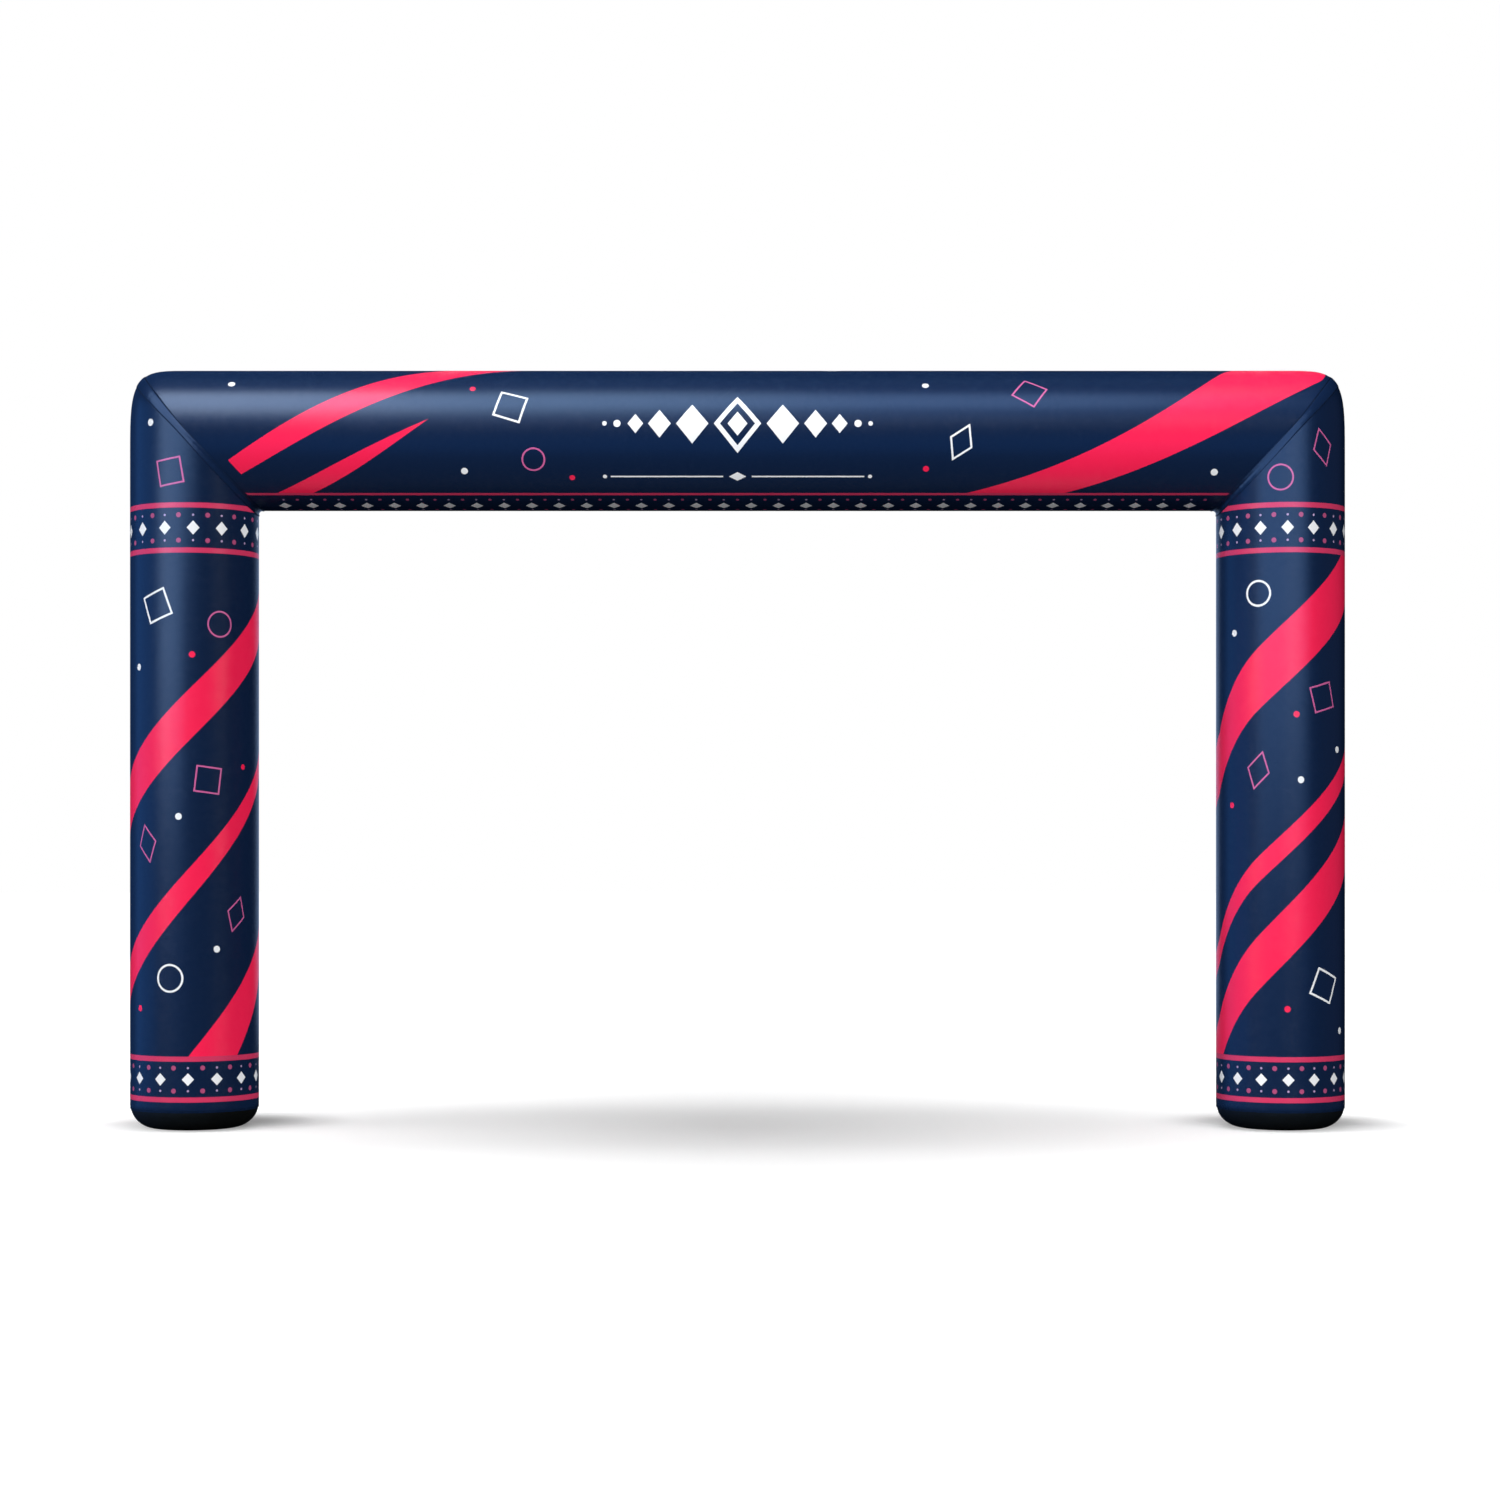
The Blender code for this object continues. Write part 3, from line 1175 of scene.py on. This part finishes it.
lit = {  # a lamp lights one group of pieces, or one of these sets
    "beam": ["header", "tapeLeft", "tapeRight"],
    "tubeLeft": ["legLeft", "tapeLeft"],
    "tubeRight": ["legRight", "tapeRight"],
}
# Azimuth is in degrees to the right of the front, elevation above the level. A wash lights the
# cloth evenly, and a level of 1 brings white cloth to full white.
Wash = namedtuple("Wash", "name lights azimuth elevation level")
washes = [Wash(*row) for row in (
    ("headerFront", "beam", 0, 25, 1.08),
    ("headerTop", "beam", 0, 80, 0.35),
    ("headerUnder", "beam", 0, -80, 0.12),
    ("headerBack", "beam", 180, 35, 0.9),
    ("leftLegOuter", "legLeft", -45, 12, 0.85),
    ("leftLegInner", "legLeft", 60, 12, 0.65),
    ("leftLegBack", "legLeft", 180, 20, 0.9),
    ("rightLegInner", "legRight", -60, 12, 0.53),
    ("rightLegFront", "legRight", 12, 12, 0.72),
    ("rightLegBack", "legRight", 180, 20, 0.9),
)]
# A box shows only as a highlight in the cloth. Across and up are where it aims
Box = namedtuple("Box", "name lights across up azimuth elevation distance wide high glow colour")
boxes = [Box(*row) for row in (
    ("headerHigh", "header", -0.85, 3.63, 0, 58, 5, 8.1, 2.3, 3.8, (0.33, 0.56, 1)),
    ("headerLow", "header", -0.85, 3.63, 0, 40, 5, 8.1, 2.6, 1, (0.33, 0.56, 1)),
    ("headerLeft", "header", -2.4, 3.63, 0, 56, 5, 5, 3.8, 2.2, (0.6, 0.85, 1)),
    ("headerEnd", "header", -3.9, 3.63, 0, 55, 5, 2.6, 3.8, 3.2, (0.8, 0.85, 1)),
    ("headerGlow", "header", 0, 3.63, 0, -10, 5, 9, 2.2, 0.5, (0.02, 0.25, 1)),
    ("headerBehind", "beam", 0, 3.63, 180, 78, 5, 9, 1.2, 0.3, (0.3, 0.55, 1)),
    ("leftStreak", "legLeft", -2.875, 4.6, -35, 0, 8, 6.4, 5, 4.4, (0.33, 0.57, 1)),
    ("leftStreakTop", "legLeft", -2.875, 6.5, -3, 0, 8, 3.4, 4, 5.4, (0.33, 0.57, 1)),
    ("leftSheen", "tubeLeft", -2.875, 2.5, -90, 0, 6, 6, 6, 0.9, (0.08, 0.32, 1)),
    ("leftBehind", "tubeLeft", -2.875, 2.5, 170, 0, 8, 5, 5, 0.8, (0.4, 0.6, 1)),
    ("leftSeam", "tapeLeft", -2.875, 3.6, -28, 28, 5, 8, 6, 4, (0.37, 0.59, 1)),
    ("rightStreak", "legRight", 2.875, 6, -9, 0, 8, 16, 8, 3.2, (0.27, 0.52, 1)),
    ("rightSeam", "tapeRight", 2.875, 2.6, -14, 0, 2.5, 4.2, 5.2, 2.8, (0.27, 0.52, 1)),
    ("rightSheen", "tubeRight", 2.875, 2.5, -95, 0, 5, 5, 6, 0.9, (0.08, 0.32, 1)),
    ("rightRim", "tubeRight", 2.875, 2.5, 95, 0, 5, 5, 6, 0.08, (0.4, 0.45, 1)),
    ("rightBehind", "tubeRight", 2.875, 2.5, -170, 0, 8, 5, 5, 0.8, (0.4, 0.6, 1)),
)]
# Lamps for the floor alone, so that the arch's shadow lies on it
FloorLamp = namedtuple("FloorLamp", "name place wide high level")
floorLamps = [FloorLamp(*row) for row in (
    ("floorTop", (0, 0, 7.5), 7, 3.4, 0.8),
    ("floorLeft", (-8, -2, 6), 5, 5, 0.1),
    ("floorRight", (8, -1, 7), 6, 6, 0.05),
)]


def hangLamp(data, lights, place, aim):
    lamp = bpy.data.objects.new(data.name, data)
    lamp.location = place
    lamp.rotation_euler = (Vector(aim) - Vector(place)).to_track_quat("-Z", "Y").to_euler()
    lamp.visible_camera = False
    scene.collection.objects.link(lamp)
    receivers = bpy.data.collections.new(data.name + "Lights")
    for group in lit.get(lights, [lights]):
        for piece in made[group]:
            receivers.objects.link(piece)
    lamp.light_linking.receiver_collection = receivers
    return lamp


def stoodOff(aim, azimuth, elevation, distance):
    turn, rise = math.radians(azimuth), math.radians(elevation)
    way = (math.sin(turn) * math.cos(rise), -math.cos(turn) * math.cos(rise), math.sin(rise))
    return Vector(aim) + distance * Vector(way)


def areaLamp(item, energy):
    data = bpy.data.lights.new(item.name, "AREA")
    data.shape = "RECTANGLE"
    data.size = item.wide
    data.size_y = item.high
    data.energy = energy
    return data


def makeLamps():
    for wash in washes:
        data = bpy.data.lights.new(wash.name, "SUN")
        data.angle = math.radians(studio["washAngle"])
        data.energy = wash.level * math.pi
        place = stoodOff((0, 0, 2), wash.azimuth, wash.elevation, 20)
        hangLamp(data, wash.lights, place, (0, 0, 2)).visible_glossy = False
    for box in boxes:
        data = areaLamp(box, box.glow * math.pi * box.wide * box.high)
        data.color = box.colour
        aim = (box.across, 0, box.up)
        place = stoodOff(aim, box.azimuth, box.elevation, box.distance)
        hangLamp(data, box.lights, place, aim).visible_diffuse = False
    for lamp in floorLamps:
        reach = Vector(lamp.place).length
        slant = lamp.place[2] / reach
        energy = lamp.level * (math.pi * reach) ** 2 / slant / studio["floorWhite"]
        data = areaLamp(lamp, energy)
        hangLamp(data, "floor", lamp.place, (0, 0, 0)).visible_glossy = False
    print("lamps:", len(washes) + len(boxes) + len(floorLamps))


shot = {
    "place": (0.0, -16.4, 1.47),
    "lens": 74.3,
    "shift": (0.00833, 0.0661),
}


def makeCamera():
    data = bpy.data.cameras.new("camera")
    data.sensor_width = 36
    data.lens = shot["lens"]
    data.shift_x, data.shift_y = shot["shift"]
    data.clip_end = 400
    camera = bpy.data.objects.new("camera", data)
    camera.location = shot["place"]
    camera.rotation_euler = (math.pi / 2, 0, 0)
    scene.collection.objects.link(camera)
    scene.camera = camera


makeLamps()
makeCamera()
scene.view_settings.view_transform = "Standard"
print("studio ready")
